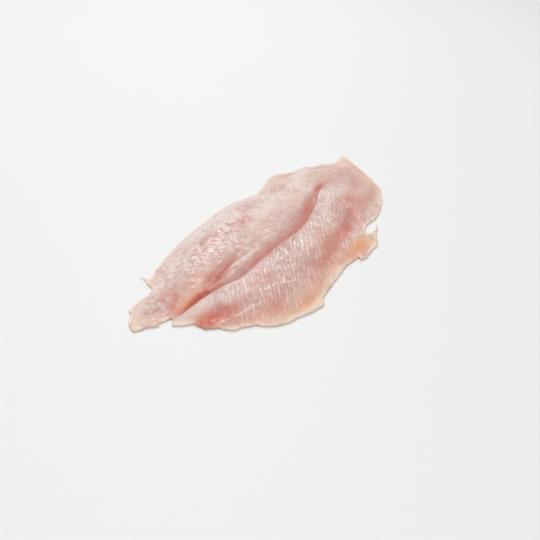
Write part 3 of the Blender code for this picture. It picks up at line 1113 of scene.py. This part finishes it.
PEACH_PLACES = (
    Band(((-104, -17), (-95, -27), (-84, -33), (-74, -35)), 6.5, 0.38, 0.15),
    Band(((-66, -43.5), (-46, -41.5), (-30, -41.5), (-12, -42.5), (8, -43)), 5, 0.35, 0.1),
    Band(((-36, -37), (-20, -36), (-4, -37)), 4.5, 0.3, 0.3),
    Band(((-30, -28), (-10, -27), (20, -27)), 5, 0.25, 0.2),
    Band(((-80, -35), (-64, -36.5), (-48, -35), (-34, -33)), 5, 0.2, 0.15),
    Band(((0, -32), (20, -34), (34, -31), (50, -28), (74, -24.5), (94, -12), (108, 0)),
         5.5, 0.22, 0.15),
    Band(((80, -29), (98, -18), (112, -3), (124, 12)), 4, 0.35, 0.2),
    *ovals(
        (-108.5, -5.5, 7, 5, -45, 1.3), (5, -47, 15, 4.6, 0, 0.8), (-69, -44, 12, 4.6, -8, 0.8),
        (-100, 8, 11, 3.2, -18, 0.9), (-108, 12, 6, 3, -30, 0.35), (-13, -46, 6, 3, 0, 0.5),
        (56, -18, 12, 5, 15, 0.25), (-104, 15, 6, 3, -10, 0.35), (-84, 13, 14, 5, -5, 0.4),
        (-102, 25, 9, 5, 10, 0.3), (-96, 5, 9, 2.4, -20, 0.35), (104, 6, 14, 6, 35, 0.2),
        (66, 38, 16, 6, 10, 0.4), (96, 18, 16, 6, 25, 0.25),
    ),
)
CREAM_PLACES = (
    Band(((-104, -20), (-94, -35), (-78, -43.5), (-62, -48), (-40, -44), (-18, -44.5)),
         2.6, 0.65, 0.1),
    Band(((4, -51.5), (14, -52), (22, -49.5), (27, -47.5)), 2.2, 0.9, 0.2),
    Band(((60, -34), (84, -28), (100, -15), (120, 6)), 2.5, 0.4, 0.2),
    *ovals(
        (-127, 26, 7, 8, 0, 0.45), (-114, 34, 8, 4, 10, 0.6), (20, -45, 12, 4.5, 10, 0.85),
        (122, 15, 12, 6, 30, 0.7), (60, 42, 16, 6, 5, 0.5), (-62, -48.4, 5, 2.8, 10, 1),
        (-90, 42, 5, 5, 0, 0.6), (-78, 43, 10, 4, 12, 0.3), (52, -37, 12, 3.5, 8, 0.5),
        (92, 22, 20, 6, 20, 0.35), (-18, 13, 26, 9, 5, 0.2), (34, 14, 16, 5, 8, 0.25),
        (66, 17, 14, 5, 16, 0.3),
    ),
)
# Paler places: partly paler tissue, partly painted sheen on the far lobe's tops and ridges. Those
# with a negative strength are painted shade, such as along the lip and the upper crease.
PALE_SHEEN_AND_SHADE_PLACES = (
    Band(((-62, -7.5), (-36, -8), (-16, -10), (6, -9.5), (30, -4.5)), 3, -0.45, 0.15),
    Band(((-82, -34), (-64, -37), (-50, -37), (-38, -31)), 4, 0.35, 0.15),
    *ovals(
        (-105, 4, 12, 3.5, -22, 0.7), (-96, -3.5, 7, 4, -25, 0.3), (-95, 34, 9, 6, 0, 0.6),
        (-86, 27, 7, 4, 10, 0.3), (-86, 16, 6, 4, 10, -0.35), (-113, 8, 5, 4, 0, 0.3),
        (-124, 28, 6, 4, 20, 0.4), (-75, 6, 10, 4, 0, -0.7), (-64, 12, 11, 6, 0, -0.45),
        (-44, 17, 10, 4, 5, -0.35), (-88, -3, 7, 3, -20, -0.3), (-60, -9, 18, 4, -4, 0.2),
        (4, 0.5, 9, 5, 5, -0.35), (-66, -19, 9, 8, 0, -0.5), (-62, -28, 7, 4, 0, -0.3),
        (-80, -17, 8, 4, 0, -0.25), (-66, -36, 18, 3.4, 3, 0.5), (-98, -20, 5, 6, 0, -0.3),
        (-8, -14, 26, 6, 8, 0.5), (46, -5, 24, 7, 18, 0.6), (36, -14, 10, 3.5, 15, -0.5),
        (61, -8, 10, 4, 15, 0.5), (76, -20, 18, 5, 12, 0.45), (98, 10, 16, 8, 30, 0.6),
        (-104, 31, 12, 5, 0, 0.45), (-70, -17, 10, 9, 0, -0.3), (-15, 25, 14, 3, 0, -0.35),
        (-50, 12, 18, 6, 0, -0.25), (60, 5, 12, 4, 5, -0.3), (108, 6, 9, 5, 35, 0.6),
        (-107, 20, 6, 4, 0, 0.35), (-97, -4, 10, 4, -20, 0.35), (-45, 45, 12, 5, 3, 0.4),
        (-49, 31.5, 8, 3.5, 0, -0.6), (-37, -7, 8, 4, 0, -0.35), (40, -22, 7, 3, 0, 0.5),
        (84, -16, 15, 5, 25, 0.5), (102, -1, 7, 4, 35, 0.35), (68, 4, 8, 4, 0, -0.4),
        (-40, -19, 5, 5, 0, 0.4), (-33, 27.7, 5, 3, 0, 0.4), (-96, -6, 9, 5, -20, 0.45),
        (100, 8, 12, 4, 10, 0.4), (-62, 6, 24, 2.5, 0, -0.3), (-62, -48.4, 4, 2.6, 10, 1),
        (-100, 8, 6, 3, -15, 0.5), (49.5, 7, 3, 2.6, 0, 0.9), (60, -32, 14, 5, 5, 0.4),
        (-14, -38, 20, 4, 0, 0.3), (12, 24, 20, 6, 0, 0.4), (-25, 32, 5, 4, 0, 0.6),
        (60, 17, 9, 8, 0, 0.5), (54, -11, 6, 4, 0, 0.35), (78, -5, 8, 4, 0, 0.4),
        (-72, 6, 14, 3, 0, -0.5), (-87, 16, 8, 4, 0, -0.3), (-48, -8, 9, 5, 0, 0.35),
        (4, 22, 28, 4.5, 5, 0.4), (0, 33, 70, 14, 0, 0.35), (-12, 49, 62, 5, 0, 1.1),
        (-30, 41, 62, 6, 3, 0.35), (-18, 8, 8, 5, 20, 0.3), (-32, 7, 9, 4, 5, -0.35),
        (-4, 13, 12, 4, 0, -0.35), (-50, 29, 12, 4, 5, -0.5), (-68, 25, 6, 5, 5, -0.35),
        (-72, 36, 18, 7, 20, 0.6), (27, 30, 6, 5, 0, 0.5), (30, 17, 14, 7, 10, 0.4),
        (45, 9, 9, 4, 10, 0.6), (34, 38, 18, 8, 10, 0.6), (45, 22, 9, 5, 0, 0.5),
        (64, 25, 16, 5, 16, 0.9), (80, 31, 18, 4.5, 10, 1), (108, 21, 10, 6, 30, 0.9),
        (112, 10, 20, 8, 40, 0.5), (62, 42, 18, 6, 0, 0.7),
    ),
)


@dataclass(frozen=True)
class Floor:
    """A plain pale floor."""

    size: float = 6.0
    shade: float = 0.80
    roughness: float = 0.6

    def build(self) -> bpy.types.Object:
        """Makes the floor, which isn't part of the object."""
        mesh = bpy.data.meshes.new("floor")
        sheet = bmesh.new()
        bmesh.ops.create_grid(sheet, x_segments=1, y_segments=1, size=self.size / 2)
        sheet.to_mesh(mesh)
        sheet.free()
        floor = bpy.data.objects.new("floor", mesh)
        bpy.context.scene.collection.objects.link(floor)
        material = bpy.data.materials.new("pale_floor")
        material.use_nodes = True
        shader = material.node_tree.nodes["Principled BSDF"]
        shader.inputs["Base Color"].default_value = (self.shade, self.shade, self.shade, 1.0)
        shader.inputs["Roughness"].default_value = self.roughness
        mesh.materials.append(material)
        return floor


@dataclass(frozen=True)
class SoftLight:
    """A large square light, placed by where it stands round the slice."""

    name: str
    heading: float
    height_angle: float
    distance: float
    size: float
    power: float

    def build(self) -> bpy.types.Object:
        """Makes the light and turns it towards the slice."""
        data = bpy.data.lights.new(self.name, "AREA")
        data.shape = "SQUARE"
        data.size = self.size
        data.energy = self.power
        turn, lift = math.radians(self.heading), math.radians(self.height_angle)
        flat = Vector((math.cos(turn), math.sin(turn), 0.0)) * math.cos(lift)
        away = flat + Vector((0.0, 0.0, math.sin(lift)))
        light = bpy.data.objects.new(self.name, data)
        light.location = away * self.distance
        light.rotation_mode = "QUATERNION"
        light.rotation_quaternion = away.to_track_quat("Z", "Y")
        bpy.context.scene.collection.objects.link(light)
        return light


@dataclass(frozen=True)
class Camera:
    """The camera, at the photograph's viewing angle. Its place is in metres."""

    place: tuple[float, float, float] = (-0.35181, -0.16034, 0.21037)
    heading: float = 26.355
    tilt_down: float = 31.611
    roll: float = 1.783
    lens: float = 46.65
    sensor: float = 36.0

    def build(self) -> bpy.types.Object:
        """Makes the camera and makes it the scene's."""
        data = bpy.data.cameras.new("camera")
        data.lens = self.lens
        data.sensor_width = self.sensor
        camera = bpy.data.objects.new("camera", data)
        turn = Matrix.Rotation(math.radians(self.heading - 90), 4, "Z")
        tilt = Matrix.Rotation(math.radians(90 - self.tilt_down), 4, "X")
        roll = Matrix.Rotation(math.radians(self.roll), 4, "Z")
        camera.matrix_world = Matrix.Translation(self.place) @ turn @ tilt @ roll
        bpy.context.scene.collection.objects.link(camera)
        bpy.context.scene.camera = camera
        return camera


@dataclass(frozen=True)
class Studio:
    """Floor, soft lights, an even sky and the camera."""

    floor: Floor = Floor()
    camera: Camera = Camera()
    sky: float = 0.50
    lights: tuple[SoftLight, ...] = (
        SoftLight("back_light", 36.0, 47.0, 1.6, 0.6, 8.0),
        SoftLight("top_light", 120.0, 75.0, 1.6, 1.6, 8.0),
        SoftLight("front_light", 215.0, 40.0, 1.6, 1.6, 7.0),
    )

    def build(self) -> None:
        """Makes all of it."""
        self.floor.build()
        for light in self.lights:
            light.build()
        world = bpy.data.worlds.new("sky")
        world.use_nodes = True
        background = world.node_tree.nodes["Background"]
        background.inputs["Color"].default_value = (1.0, 1.0, 1.0, 1.0)
        background.inputs["Strength"].default_value = self.sky
        bpy.context.scene.world = world
        bpy.context.scene.view_settings.view_transform = "Standard"
        self.camera.build()


def main() -> None:
    """Builds the slice and the studio round it."""
    logging.basicConfig(level=logging.INFO, format="%(message)s")
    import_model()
    Studio().build()
    piece = Slice().build()
    mesh = piece.data
    log.info("%s: %d points, %d faces", piece.name, len(mesh.vertices), len(mesh.polygons))


if __name__ == "__main__":
    main()
